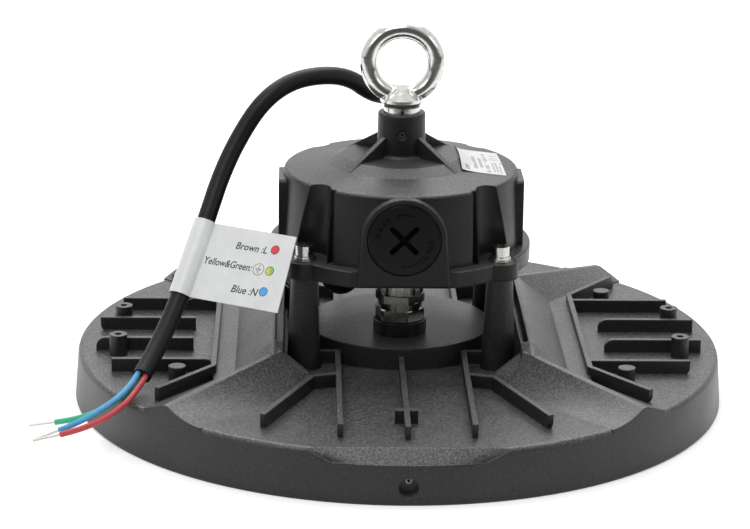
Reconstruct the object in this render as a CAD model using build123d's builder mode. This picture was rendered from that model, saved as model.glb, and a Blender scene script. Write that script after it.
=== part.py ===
from build123d import *
from math import cos, pi, radians, sin, sqrt, tan
import os

os.makedirs("parts", exist_ok=True)

# Round high bay light that stands on its light-giving face.
# The origin is on the floor at the middle of the rim, +Z is up and the front is towards -Y.
# All sizes are in millimetres.

# Clearances
slide_gap = 0.3
drop_in_gap = 0.5
thread_gap = 0.05

# Rim and base plate of the heat sink casting
rim_radius = 160.0
rim_draft = 4.2
base_top = 24.5
base_thickness = 6.0
rim_edge_round = 2.5
ledge_width = 14.0
ledge_height = 9.0
rim_land = 8.0
rim_foot_chamfer = 0.8

# Central plateau of the casting
plateau_radius = 45.3
plateau_top = 35.4
plateau_draft = 5.0

# Cooling fins and bosses
fin_top = 31.3
fin_thickness = 2.6
fin_end_round = 4.5
fin_foot = 1.2
field_fin_pitch = 32.0
long_fin_inner = 103.5
long_fin_outer = rim_radius - 12.5
short_fin_outer = rim_radius - 22.0
border_x = 90.0
border_corner_y = 57.4
border_end_gap = 13.3
border_end_angle = 38.1
solid_boss_x = 107.2
solid_boss_y = 61.4
solid_boss_radius = 4.15
solid_boss_top = 32.1
holed_boss_x = rim_radius - 22.5
holed_boss_y = 23.0
holed_boss_radius = 4.4
holed_boss_top = 35.2
holed_boss_bore = 1.7
holed_boss_depth = 9.0

# Shoulders beside the posts and the four ridges that run out to the rim
shoulder_inner = 56.6
shoulder_crest = 61.0
shoulder_top = 41.6
shoulder_half_length = 53.4
shoulder_land = 1.5
shoulder_inner_drop = 1.2
shoulder_slot_width = 3.0
shoulder_slot_depth = 9.0
mitre_reach = 67.0
mitre_top = 38.9
step_x = 80.0
step_top = 27.2
ridge_angle = 45.0
ridge_start = 84.0
ridge_top_start = 39.7
ridge_fall = 0.13
ridge_land = 3.0
ridge_foot_start = 20.0
ridge_foot_end = 24.0
ridge_back_start = 18.0
ridge_back_end = 13.0
spur_end = 44.0
spur_top = 26.2
spur_y = 54.6
spur_land = 1.6
spur_sink = 0.4
spur_foot_start = 19.0
spur_foot_end = 4.0

# Fins in the front and rear pockets
pocket_fin_x = 30.5
pocket_fin_end = rim_radius - 21.0
middle_fin_end = rim_radius - 18.4
slant_fin_start_y = 68.6
slant_fin_bend_x = 43.0
slant_fin_bend_y = 72.5
slant_fin_end_gap = 17.9
slant_fin_end_angle = 62.5
lug_y = 119.0
lug_width = 10.6
lug_depth = 3.6
post_rib_y = 34.7

# Scoop in the front edge and the hole under it
scoop_floor = 18.7
scoop_depth = rim_radius - 10.4
scoop_half_top = 51.0
scoop_half_floor = 35.0
rim_hole_height = 8.2
rim_hole_radius = 4.5
rim_hole_depth = 5.6
rim_screw_height = 10.8
rim_screw_radius = 1.6
rim_screw_length = 7.0
rim_screw_proud = 1.5
rim_screw_socket = 0.9

# Posts and the screws that hold the driver housing on them
post_x = 47.0
post_y = 39.0
post_top_radius = 6.3
post_foot_radius = 8.4
thread_radius = 2.5
screw_grip = 14.0
thread_depth = 16.0
screw_head_radius = 4.25
screw_head_height = 5.0
screw_socket_width = 4.0
screw_socket_depth = 2.6
flat_washer_radius = 5.9
flat_washer_thickness = 1.1
spring_washer_radius = 4.9
spring_washer_thickness = 1.3

# Driver housing
drum_bottom = 70.5
flange_thickness = 7.9
flange_round = 0.8
flange_radius = 64.0
ear_radius = 8.8
drum_top = 114.4
drum_radius = 57.0
drum_foot_radius = 58.4
drum_wall = 3.2
drum_edge_round = 1.6
crown_rise = 3.0
crown_radius = 32.0
pad_radius = 28.5
pad_height = 3.4
boss_radius = 11.5
boss_foot_radius = 11.9
boss_top = 142.3
boss_edge_round = 1.2
boss_foot_round = 2.0
rib_angle = 48.0
rib_outer = 36.5
rib_top = 131.0
rib_thickness = 2.8
cross_hole_height = 132.7
cross_hole_radius = 1.6
cross_hole_sink = 2.3
scoop_low_radius = 12.4
scoop_high_radius = 7.4
scoop_high_reach = 60.0
scoop_high_angle = 44.0
notch_angle = 36.4
notch_width = 3.4
notch_depth = 2.6
pilaster_width = 26.0
pilaster_reach = 59.6
pilaster_top = 110.8
pilaster_round = 2.4

# Port block and its twist-lock plug
port_radius = 20.2
port_height = drum_top - port_radius
port_face = 60.4
port_half_width = 22.2
port_round = 1.2
port_recess = 3.4
port_bore_radius = 15.0
plug_radius = 17.3
plug_thickness = 3.0
plug_crown_round = 0.7
plug_stem_radius = 13.6
plug_stem_length = 6.0
plug_slot_length = 18.4
plug_slot_width = 2.7
plug_slot_depth = 2.2
plug_lug_reach = 1.1
plug_lug_width = 5.0
plug_lug_thickness = 2.0
seal_thickness = 0.7
seal_gap = 0.1

# Bottom cover, seal and driver inside the housing
cover_thickness = 2.0
housing_seal_thickness = 0.5
housing_seal_width = 2.5
cover_screw_radius = 2.75
cover_screw_head = 1.8
cover_screw_ring = 48.0
cover_screw_count = 6
driver_length = 50.0
driver_width = 34.0
driver_height = 26.0
driver_offset_x = 6.0
driver_offset_y = 11.0
driver_edge = 2.0

# Eye bolt with its spring washer and the grub screw that locks it
bolt_thread_radius = 5.0
bolt_thread_length = 20.0
eye_height = 166.0
eye_inner_radius = 12.2
eye_outer_radius = 20.5
collar_radius = 10.6
collar_bottom_radius = 8.6
collar_belt = 147.6
collar_neck = eye_height - eye_inner_radius + 0.2
lock_washer_radius = 9.0
lock_washer_thickness = 2.6
lock_washer_cut = 1.6
grub_length = 4.5
grub_socket = 0.8

# Metal gland between the driver housing and the plateau
link_y = 15.3
link_ring_radius = 13.0
link_ring_height = 7.4
link_nut_flats = 21.7
link_nut_turn = -15.0
link_nut_round = 12.2
link_nut_height = 5.0
link_waist_radius = 11.0
link_waist_height = 3.7
link_top_nut_height = 3.9
link_sleeve_radius = 11.3
link_sleeve_chamfer = 0.6

# Elbow gland for the mains cable under the housing
elbow_x = -29.0
elbow_y = 2.0
elbow_radius = 10.0
elbow_height = 58.6
elbow_neck_radius = 7.6
elbow_arm = 10.0
elbow_nut_radius = 10.4
elbow_nut_length = 15.0
elbow_dome = 5.0

# Light unit under the base plate
board_margin = 4.0
board_thickness = 1.6
board_screw_ring = 92.0
board_screw_count = 6
lamp_size = 3.5
lamp_height = 0.8
lamp_pitch = 10.0
lens_thickness = 3.0
lens_face = 4.5
lens_screw_inset = 5.5
lens_screw_count = 12
lens_screw_radius = 1.9
lens_screw_head_radius = 3.3
lens_screw_head_height = 2.2
lens_screw_grip = 3.5
lens_seal_inset = 1.0
lens_seal_width = 3.0

# Mains cable, its cores and the label on it
cable_radius = 4.45
core_radius = 1.4
core_ring = 2.2
strand_radius = 0.65
strand_length = 13.0
label_thickness = 0.3
label_length = 38.5
label_reach_low = 55.0
label_reach_high = 51.5
label_gap = 0.6
label_start = 18.5


def rib(start, end, low, high, thickness, rounded=""):
    """Adds an upright wall from start to end; a rounded end has an arched upper corner."""
    along = Vector(end[0] - start[0], end[1] - start[1], 0)
    plane = Plane(
        origin=(start[0], start[1], 0),
        x_dir=along.normalized(),
        z_dir=along.normalized().cross(Vector(0, 0, 1)),
    )
    with BuildSketch(plane) as side:
        with Locations((along.length / 2, (low + high) / 2)):
            Rectangle(along.length, high - low)
        corners = side.vertices().group_by(Axis.Z)[-1].sort_by(Axis(origin=start + (0,), direction=along))
        if "start" in rounded:
            fillet(corners[0], fin_end_round)
        if "end" in rounded:
            fillet(corners[-1], fin_end_round)
    extrude(side.sketch, amount=thickness / 2, both=True)


def chamfered_nut(x, y, low, high):
    """Adds a hexagon nut shape between two heights, with its corners turned off at both ends."""
    with BuildSketch(Plane.XY.offset(low)) as outline:
        with Locations(Location((x, y), link_nut_turn)):
            RegularPolygon(radius=link_nut_flats / 2, side_count=6, major_radius=False)
    extrude(outline.sketch, amount=high - low)
    with BuildSketch(Plane.XY.offset(low)) as turned:
        with Locations((x, y)):
            Circle(link_nut_round)
    extrude(turned.sketch, amount=high - low, mode=Mode.INTERSECT)


def disc(radius, low, high, x=0.0, y=0.0, inner=0.0):
    """Adds a plain round disc or ring between two heights."""
    with BuildSketch(Plane.XY.offset(low)) as outline:
        with Locations((x, y)):
            Circle(radius)
            if inner > 0:
                Circle(inner, mode=Mode.SUBTRACT)
    extrude(outline.sketch, amount=high - low)


def disc_cut(radius, low, high, x=0.0, y=0.0):
    """Cuts a plain round hole between two heights."""
    with BuildSketch(Plane.XY.offset(low)) as outline:
        with Locations((x, y)):
            Circle(radius)
    extrude(outline.sketch, amount=high - low, mode=Mode.SUBTRACT)


def routed(points, radius):
    """Sweeps a round cord along straight runs joined by tangent arcs and prints its bend radii."""
    runs = [Vector(*b) - Vector(*a) for a, b in zip(points, points[1:])]
    radii = []
    for before, after in zip(runs, runs[1:]):
        half_turn = radians(before.get_angle(after)) / 2
        radii.append(0.45 * min(before.length, after.length) / tan(half_turn))
    print("bends", [round(r, 1) for r in radii], "least", round(min(radii) / (2 * radius), 1), "diameters")
    with BuildLine() as path:
        FilletPolyline(*points, radius=radii)
    with BuildSketch(Plane(origin=points[0], z_dir=runs[0])) as section:
        Circle(radius)
    sweep(section.sketch, path=path.wires()[0])
    return path.wires()[0].length


# Relief of the casting: two shoulders and four ridges, turned off to the rim's draft
base_under = base_top - base_thickness
rim_slope = tan(radians(rim_draft))
rim_top_radius = rim_radius - base_top * rim_slope
seat_radius = rim_radius - rim_land
cavity_radius = seat_radius - ledge_width
shank_radius = lens_screw_radius - slide_gap
lens_screw_ring = seat_radius - lens_screw_inset
lens_seal_inner = cavity_radius + lens_seal_inset
board_radius = cavity_radius - board_margin
post_places = [(sx * post_x, sy * post_y) for sx in (-1, 1) for sy in (-1, 1)]
ridge_end = rim_radius + 10.0
ridge_top_end = ridge_top_start - ridge_fall * (ridge_end - ridge_start)
low = base_top - 1.0
deep = base_top - rim_edge_round - 1.5

with BuildPart() as relief:
    # The shoulders lie along Y beside the posts and fall towards the ridges at both ends
    for end in (-1, 1):
        for reach, crest in (
            (0, shoulder_top),
            (shoulder_half_length, shoulder_top),
            (mitre_reach, mitre_top),
        ):
            with BuildSketch(Plane.XZ.offset(end * reach)):
                with BuildLine():
                    Polyline(
                        (shoulder_inner, deep),
                        (shoulder_inner + slide_gap, crest - shoulder_inner_drop),
                        (shoulder_crest, crest),
                        (shoulder_crest + shoulder_land, crest),
                        (step_x, step_top),
                        (border_x, step_top),
                        (border_x, deep),
                        close=True,
                    )
                make_face()
        loft(ruled=True)

    # Both ends are mitred along the diagonals, and a slot runs behind the inner wall
    for end in (-1, 1):
        with BuildSketch(Plane.XY):
            with BuildLine():
                Polyline(
                    (shoulder_inner - 5, end * (shoulder_inner - 1)),
                    (border_x + 5, end * (border_x + 9)),
                    (shoulder_inner - 5, end * (border_x + 9)),
                    close=True,
                )
            make_face()
        extrude(amount=2 * shoulder_top, mode=Mode.SUBTRACT)
    with BuildSketch(Plane.XY.offset(shoulder_top - shoulder_slot_depth)):
        with Locations((shoulder_crest - shoulder_slot_width / 2 - slide_gap, 0)):
            SlotOverall(2 * shoulder_half_length - 6, shoulder_slot_width, rotation=90)
    extrude(amount=shoulder_slot_depth, mode=Mode.SUBTRACT)

    # Each ridge falls towards the rim and is hollow on the pocket side
    for angle, flip in ((ridge_angle, 1), (180 - ridge_angle, -1)):
        out = Vector(sin(radians(angle)), -cos(radians(angle)), 0)
        across = Vector(0, 0, 1).cross(out)
        for reach, crest, foot, back, back_height in (
            (ridge_start, ridge_top_start, ridge_foot_start, ridge_back_start, step_top),
            (ridge_end, ridge_top_end, ridge_foot_end, ridge_back_end, base_top),
        ):
            hollow = 0.22 * (crest - base_top)
            with BuildSketch(Plane(origin=out * reach, x_dir=across, z_dir=out)):
                with BuildLine():
                    ThreePointArc(
                        (-flip * foot, base_top),
                        (-flip * (foot + ridge_land) / 2, (base_top + crest) / 2 - hollow),
                        (-flip * ridge_land, crest),
                    )
                    Polyline(
                        (-flip * ridge_land, crest),
                        (0, crest),
                        (flip * back, back_height),
                        (flip * back, deep),
                        (-flip * foot, deep),
                        (-flip * foot, base_top),
                    )
                make_face()
        loft()

    # A short spur runs inwards from each end of the shoulder and falls towards the post
    for end in (-1, 1):
        for x, crest, foot in (
            (shoulder_crest, shoulder_top - shoulder_inner_drop, spur_foot_start),
            (spur_end, spur_top, spur_foot_end),
        ):
            with BuildSketch(Plane.YZ.offset(x)):
                with BuildLine():
                    ThreePointArc(
                        (end * (spur_y + foot), base_top - spur_sink),
                        (end * (spur_y + 0.4 * foot), base_top + 0.32 * (crest - base_top)),
                        (end * spur_y, crest),
                    )
                    Polyline(
                        (end * spur_y, crest),
                        (end * (spur_y - spur_land), crest),
                        (end * (spur_y - spur_land - 1), deep),
                        (end * (spur_y + foot), deep),
                        (end * (spur_y + foot), base_top - spur_sink),
                    )
                make_face()
        loft()

# What reaches past the rim is turned off along the rim's own draft
with BuildPart() as past_rim:
    with BuildSketch(Plane.XZ):
        with BuildLine():
            Polyline(
                (rim_radius + rim_slope, -1),
                (rim_radius - 2 * base_top * rim_slope, 2 * base_top),
                (1.5 * rim_radius, 2 * base_top),
                (1.5 * rim_radius, -1),
                close=True,
            )
        make_face()
    revolve(axis=Axis.Z)

with BuildPart() as side_relief:
    add(relief.solids()[0])
    add(past_rim.solids()[0], mode=Mode.SUBTRACT)

# Heat sink casting
with BuildPart() as heat_sink:
    with BuildSketch(Plane.XZ):
        with BuildLine():
            Polyline(
                (0, base_under),
                (cavity_radius, base_under),
                (cavity_radius, ledge_height),
                (seat_radius, ledge_height),
                (seat_radius, 0),
                (rim_radius - rim_foot_chamfer, 0),
                (rim_radius, rim_foot_chamfer),
                (rim_top_radius, base_top),
                (0, base_top),
                close=True,
            )
        make_face()
    revolve(axis=Axis.Z)
    fillet(heat_sink.edges().filter_by(GeomType.CIRCLE).group_by(Axis.Z)[-1], rim_edge_round)
    add(side_relief.solids()[0])
    add(mirror(side_relief.solids()[0], about=Plane.YZ))
    # Central plateau
    with BuildSketch(Plane.XY.offset(low)):
        Circle(plateau_radius + (plateau_top - low) * tan(radians(plateau_draft)))
    extrude(amount=plateau_top - low, taper=plateau_draft)

    # Border walls, fins and bosses of the two side fields
    border_end = rim_radius - border_end_gap
    border_end_x = border_end * cos(radians(border_end_angle))
    border_end_y = border_end * sin(radians(border_end_angle))
    for side in (-1, 1):
        for end in (-1, 1):
            rib(
                (side * border_x, end * border_corner_y),
                (side * border_end_x, end * border_end_y),
                low, fin_top, fin_thickness, "end",
            )
            rib(
                (side * border_x, end * field_fin_pitch * 1.5),
                (side * (short_fin_outer + fin_foot), end * field_fin_pitch * 1.5),
                low, fin_top, fin_thickness, "end",
            )
            rib(
                (side * (long_fin_inner - 2 * fin_foot), end * field_fin_pitch / 2),
                (side * (long_fin_outer + fin_foot), end * field_fin_pitch / 2),
                low, fin_top, fin_thickness, "start end",
            )
            disc(solid_boss_radius, low, solid_boss_top, side * solid_boss_x, end * solid_boss_y)
            disc(holed_boss_radius, low, holed_boss_top, side * holed_boss_x, end * holed_boss_y)
            disc(fin_thickness / 2, low, fin_top, side * border_x, end * border_corner_y)
        rib(
            (side * border_x, -border_corner_y),
            (side * border_x, border_corner_y),
            low, fin_top, fin_thickness,
        )

    # Fins and lugs of the front and rear pockets
    slant_fin_end = rim_radius - slant_fin_end_gap
    slant_fin_end_x = slant_fin_end * cos(radians(slant_fin_end_angle))
    slant_fin_end_y = slant_fin_end * sin(radians(slant_fin_end_angle))
    for end in (-1, 1):
        rib((0, end * plateau_radius), (0, end * middle_fin_end), low, fin_top, fin_thickness, "end")
        with BuildSketch(Plane.XY.offset(low)):
            with Locations((0, end * lug_y)):
                Rectangle(lug_width, lug_depth)
        extrude(amount=fin_top - low)
        for side in (-1, 1):
            rib(
                (side * pocket_fin_x, end * post_rib_y),
                (side * pocket_fin_x, end * pocket_fin_end),
                low, fin_top, fin_thickness, "end",
            )
            rib(
                (side * pocket_fin_x, end * slant_fin_start_y),
                (side * slant_fin_bend_x, end * slant_fin_bend_y),
                low, fin_top, fin_thickness,
            )
            disc(fin_thickness / 2, low, fin_top, side * slant_fin_bend_x, end * slant_fin_bend_y)
            rib(
                (side * slant_fin_bend_x, end * slant_fin_bend_y),
                (side * slant_fin_end_x, end * slant_fin_end_y),
                low, fin_top, fin_thickness, "end",
            )
            rib(
                (side * pocket_fin_x, end * post_rib_y),
                (side * post_x, end * post_rib_y),
                low, fin_top, fin_thickness,
            )

    # Posts with tapped holes
    for x, y in post_places:
        with BuildSketch(Plane.XY.offset(low)):
            with Locations((x, y)):
                Circle(post_foot_radius)
        with BuildSketch(Plane.XY.offset(drum_bottom)):
            with Locations((x, y)):
                Circle(post_top_radius)
        loft()
    with Locations(Plane.XY.offset(drum_bottom)):
        with Locations(*post_places):
            Hole(thread_radius + thread_gap, thread_depth)

    # Tapped holes in the taller bosses
    with Locations(Plane.XY.offset(holed_boss_top)):
        with GridLocations(2 * holed_boss_x, 2 * holed_boss_y, 2, 2):
            Hole(holed_boss_bore, holed_boss_depth)

    # Scoop cut into the front edge
    for height, half, reach in (
        (scoop_floor, scoop_half_floor, rim_radius - scoop_floor * tan(radians(rim_draft))),
        (base_top + 1.0, scoop_half_top, scoop_depth),
    ):
        edge_y = -sqrt(rim_top_radius**2 - half**2)
        outer_y = -rim_radius - 10
        with BuildSketch(Plane.XY.offset(height)):
            with BuildLine():
                ThreePointArc((-half, edge_y), (0, -reach + 0.2), (half, edge_y))
                Polyline((half, edge_y), (half, outer_y), (-half, outer_y), (-half, edge_y))
            make_face()
    loft(mode=Mode.SUBTRACT)

    # Hole in the front of the rim with a small tapped hole behind it
    with BuildSketch(Plane.XZ.offset(rim_radius)):
        with Locations((0, rim_hole_height)):
            Circle(rim_hole_radius)
    extrude(amount=-rim_hole_depth, mode=Mode.SUBTRACT)
    with BuildSketch(Plane.XZ.offset(rim_radius - rim_hole_depth)):
        with Locations((0, rim_screw_height)):
            Circle(rim_screw_radius + thread_gap)
    extrude(amount=-rim_screw_length, mode=Mode.SUBTRACT)

    # Tapped holes in the ledge for the lens screws
    with BuildSketch(Plane.XY.offset(ledge_height)):
        with PolarLocations(lens_screw_ring, lens_screw_count, start_angle=15):
            Circle(shank_radius + thread_gap)
    extrude(amount=lens_screw_grip + 1.0, mode=Mode.SUBTRACT)
    with BuildSketch(Plane.XY.offset(base_under)):
        with PolarLocations(board_screw_ring, board_screw_count, start_angle=30):
            Circle(shank_radius + thread_gap)
    extrude(amount=lens_screw_grip + 0.5, mode=Mode.SUBTRACT)
heat_sink.part.label = "heat_sink"
export_step(heat_sink.part, "parts/heat_sink.step")

# Small screw at the back of the rim hole
with BuildPart() as rim_screw:
    with BuildSketch(Plane.XZ.offset(rim_radius - rim_hole_depth + rim_screw_proud)):
        with Locations((0, rim_screw_height)):
            Circle(rim_screw_radius)
    extrude(amount=-rim_screw_length)
    with BuildSketch(Plane.XZ.offset(rim_radius - rim_hole_depth + rim_screw_proud)):
        with Locations((0, rim_screw_height)):
            RegularPolygon(radius=rim_screw_socket, side_count=6)
    extrude(amount=-rim_screw_proud, mode=Mode.SUBTRACT)
rim_screw.part.label = "rim_screw"
export_step(rim_screw.part, "parts/rim_screw.step")

# Light unit: board, lamps, lens plate, seal and screws
board_top = base_under
board_bottom = board_top - board_thickness
lens_top = lens_face + lens_thickness
board_screws = PolarLocations(board_screw_ring, board_screw_count, start_angle=30)
lens_screw_places = PolarLocations(lens_screw_ring, lens_screw_count, start_angle=15)
upright = (Align.CENTER, Align.CENTER, Align.MIN)

with BuildPart() as led_board:
    with BuildSketch(Plane.XY.offset(board_bottom)):
        Circle(board_radius)
        with board_screws:
            Circle(lens_screw_radius, mode=Mode.SUBTRACT)
    extrude(amount=board_thickness)
led_board.part.label = "led_board"
export_step(led_board.part, "parts/led_board.step")

with BuildPart() as leds:
    with BuildSketch(Plane.XY.offset(board_bottom - lamp_height)):
        for ring in (36.0, 60.0, 84.0, 104.0, 122.0):
            with PolarLocations(ring, int(ring / lamp_pitch) * 3, start_angle=7):
                Rectangle(lamp_size, lamp_size)
    extrude(amount=lamp_height)
leds.part.label = "leds"
export_step(leds.part, "parts/leds.step")

with BuildPart() as board_screw_set:
    with board_screws:
        with Locations((0, 0, board_bottom - lens_screw_head_height)):
            Cylinder(lens_screw_head_radius, lens_screw_head_height, align=upright)
        with Locations((0, 0, board_bottom)):
            Cylinder(shank_radius, board_thickness + lens_screw_grip, align=upright)
board_screw_set.part.label = "board_screws"
export_step(board_screw_set.part, "parts/board_screws.step")

with BuildPart() as lens_seal:
    disc(lens_seal_inner + lens_seal_width, lens_top, ledge_height, inner=lens_seal_inner)
lens_seal.part.label = "lens_seal"
export_step(lens_seal.part, "parts/lens_seal.step")

with BuildPart() as lens_plate:
    disc(seat_radius - drop_in_gap, lens_face, lens_top)
    with BuildSketch(Plane.XY.offset(lens_face)):
        with lens_screw_places:
            Circle(lens_screw_radius)
    extrude(amount=lens_thickness, mode=Mode.SUBTRACT)
lens_plate.part.label = "lens_plate"
export_step(lens_plate.part, "parts/lens_plate.step")

with BuildPart() as lens_screws:
    with lens_screw_places:
        with Locations((0, 0, lens_face - lens_screw_head_height)):
            Cylinder(lens_screw_head_radius, lens_screw_head_height, align=upright)
        with Locations((0, 0, lens_face)):
            Cylinder(shank_radius, ledge_height - lens_face + lens_screw_grip, align=upright)
lens_screws.part.label = "lens_screws"
export_step(lens_screws.part, "parts/lens_screws.step")

# Driver housing: drum with flange, ears, scoops, port block, pad, ribs and boss
flange_top = drum_bottom + flange_thickness
crown_top = drum_top + crown_rise
pad_top = crown_top + pad_height
inside_radius = drum_radius - drum_wall
inside_top = drum_top - drum_wall
cover_top = drum_bottom + cover_thickness
cover_seat = cover_top + housing_seal_thickness
cover_screw_grip = 6.0
room_radius = cover_screw_ring - cover_screw_radius - 1.5

port_back = drum_radius - 8.0
flange_flat = port_face - port_round - slide_gap

# Block of the port, round at the top, with its front edge rounded
with BuildPart() as port_block:
    with BuildSketch(Plane.XZ.offset(port_back)):
        with BuildLine():
            Polyline(
                (-port_radius, port_height),
                (-port_half_width, drum_bottom),
                (port_half_width, drum_bottom),
                (port_radius, port_height),
            )
            ThreePointArc(
                (port_radius, port_height),
                (0, port_height + port_radius),
                (-port_radius, port_height),
            )
        make_face()
    extrude(amount=port_face - port_back)
    fillet(port_block.faces().sort_by(Axis.Y)[0].edges(), port_round)

with BuildPart() as driver_housing:
    with BuildSketch(Plane.XZ):
        with BuildLine():
            Polyline(
                (0, drum_bottom),
                (flange_radius, drum_bottom),
                (flange_radius, flange_top),
                (drum_foot_radius, flange_top),
                (drum_radius, drum_top),
                (crown_radius + pad_height, crown_top),
                (pad_radius, pad_top),
                (boss_foot_radius, pad_top),
                (boss_radius, boss_top),
                (0, boss_top),
                close=True,
            )
        make_face()
    revolve(axis=Axis.Z)
    for height, which, size in (
        (drum_top, -1, drum_edge_round),
        (boss_top, -1, boss_edge_round),
        (flange_top, -1, flange_round),
        (pad_top, 0, boss_foot_round),
    ):
        rings = driver_housing.edges().filter_by(GeomType.CIRCLE)
        rings = rings.filter_by_position(Axis.Z, height - 0.1, height + 0.1)
        fillet(rings.sort_by(SortBy.RADIUS)[which], size)

    # Ears over the posts
    for x, y in post_places:
        disc(ear_radius, drum_bottom, flange_top, x, y)

    # Pilasters at the two sides
    for side in (-1, 1):
        with BuildSketch(Plane.YZ.offset(side * inside_radius)) as pilaster:
            with Locations((0, (drum_bottom + pilaster_top) / 2)):
                Rectangle(pilaster_width, pilaster_top - drum_bottom)
            fillet(pilaster.vertices().group_by(Axis.Z)[-1], pilaster_round)
        extrude(amount=side * (pilaster_reach - inside_radius))

    # The flange is flat where the port block stands
    with BuildSketch(Plane.XZ.offset(flange_flat)):
        with Locations((0, (drum_bottom + flange_top) / 2)):
            Rectangle(flange_radius, 2 * flange_thickness)
    extrude(amount=flange_radius, mode=Mode.SUBTRACT)
    add(port_block.solids()[0])

    # Room inside for the driver
    disc_cut(inside_radius, drum_bottom, cover_seat)
    disc_cut(room_radius, drum_bottom, inside_top)
    with BuildSketch(Plane.XY.offset(cover_seat)):
        with PolarLocations(cover_screw_ring, cover_screw_count, start_angle=30):
            Circle(shank_radius + thread_gap)
    extrude(amount=cover_screw_grip + 1.0, mode=Mode.SUBTRACT)

    # Scoops that give a driver room over each screw, wider at the foot
    for sx in (-1, 1):
        for sy in (-1, 1):
            with BuildSketch(Plane.XY.offset(flange_top)):
                with Locations((sx * post_x, sy * post_y)):
                    Circle(scoop_low_radius)
            with BuildSketch(Plane.XY.offset(drum_top + 1.0)):
                with Locations((
                    sx * scoop_high_reach * sin(radians(scoop_high_angle)),
                    sy * scoop_high_reach * cos(radians(scoop_high_angle)),
                )):
                    Circle(scoop_high_radius)
            loft(mode=Mode.SUBTRACT)

    # Narrow notches beside the scoops
    with BuildSketch(Plane.XY.offset(flange_top)):
        for angle in (notch_angle, -notch_angle, 180 - notch_angle, 180 + notch_angle):
            x = drum_radius * sin(radians(angle))
            y = -drum_radius * cos(radians(angle))
            with Locations(Location((x, y), angle)):
                Rectangle(notch_width, 2 * notch_depth)
    extrude(amount=drum_top - flange_top, mode=Mode.SUBTRACT)

    # Four ribs stand on the crown and lean on the boss
    for angle in (rib_angle, -rib_angle, 180 - rib_angle, 180 + rib_angle):
        out = Vector(sin(radians(angle)), -cos(radians(angle)), 0)
        with BuildSketch(Plane(origin=(0, 0, 0), x_dir=out, z_dir=out.cross(Vector(0, 0, 1)))):
            with BuildLine():
                Polyline(
                    (boss_radius / 2, drum_top),
                    (rib_outer, drum_top),
                    (rib_outer, crown_top - 0.5),
                    (boss_radius, rib_top),
                    (boss_radius / 2, rib_top),
                    close=True,
                )
            make_face()
        extrude(amount=rib_thickness / 2, both=True)

    # Threaded bore for the eye bolt and the cross hole for the grub screw
    disc_cut(bolt_thread_radius + thread_gap, boss_top - bolt_thread_length - 2.0, boss_top)
    with BuildSketch(Plane.XZ.offset(boss_foot_radius)):
        with Locations((0, cross_hole_height)):
            Circle(cross_hole_radius + thread_gap)
    extrude(amount=-boss_foot_radius, mode=Mode.SUBTRACT)
    with BuildSketch(Plane.XZ.offset(boss_foot_radius)):
        with Locations((0, cross_hole_height)):
            Circle(cross_hole_sink)
    extrude(amount=-cross_hole_sink / 2, mode=Mode.SUBTRACT)

    # Clearance holes in the ears
    for x, y in post_places:
        disc_cut(thread_radius + slide_gap, drum_bottom, flange_top, x, y)

    # Recess and bore of the port
    with BuildSketch(Plane.XZ.offset(port_face)):
        with Locations((0, port_height)):
            Circle(plug_radius + slide_gap)
    extrude(amount=-port_recess, mode=Mode.SUBTRACT)
    with BuildSketch(Plane.XZ.offset(port_face)):
        with Locations((0, port_height)):
            Circle(port_bore_radius)
    extrude(amount=-(port_face - room_radius / 2), mode=Mode.SUBTRACT)
driver_housing.part.label = "driver_housing"
export_step(driver_housing.part, "parts/driver_housing.step")

# Cover, its seal and screws, and the driver that stands on the cover
with BuildPart() as housing_cover:
    disc(inside_radius - drop_in_gap, drum_bottom, cover_top)
    disc_cut(elbow_neck_radius + slide_gap, drum_bottom, cover_top, elbow_x, elbow_y)
    with BuildSketch(Plane.XY.offset(drum_bottom)):
        with PolarLocations(cover_screw_ring, cover_screw_count, start_angle=30):
            Circle(lens_screw_radius)
    extrude(amount=cover_thickness, mode=Mode.SUBTRACT)
housing_cover.part.label = "housing_cover"
export_step(housing_cover.part, "parts/housing_cover.step")

with BuildPart() as housing_seal:
    disc(
        inside_radius - drop_in_gap, cover_top, cover_seat,
        inner=inside_radius - drop_in_gap - housing_seal_width,
    )
housing_seal.part.label = "housing_seal"
export_step(housing_seal.part, "parts/housing_seal.step")

with BuildPart() as cover_screws:
    with PolarLocations(cover_screw_ring, cover_screw_count, start_angle=30):
        with Locations((0, 0, drum_bottom - cover_screw_head)):
            Cylinder(cover_screw_radius, cover_screw_head, align=upright)
        with Locations((0, 0, drum_bottom)):
            Cylinder(shank_radius, cover_seat - drum_bottom + cover_screw_grip, align=upright)
cover_screws.part.label = "cover_screws"
export_step(cover_screws.part, "parts/cover_screws.step")

with BuildPart() as driver_module:
    with BuildSketch(Plane.XY.offset(cover_top)):
        with Locations((driver_offset_x, driver_offset_y)):
            Rectangle(driver_length, driver_width)
    extrude(amount=driver_height)
    chamfer(driver_module.edges().filter_by(Axis.Z), driver_edge)
driver_module.part.label = "driver_module"
export_step(driver_module.part, "parts/driver_module.step")

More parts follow.
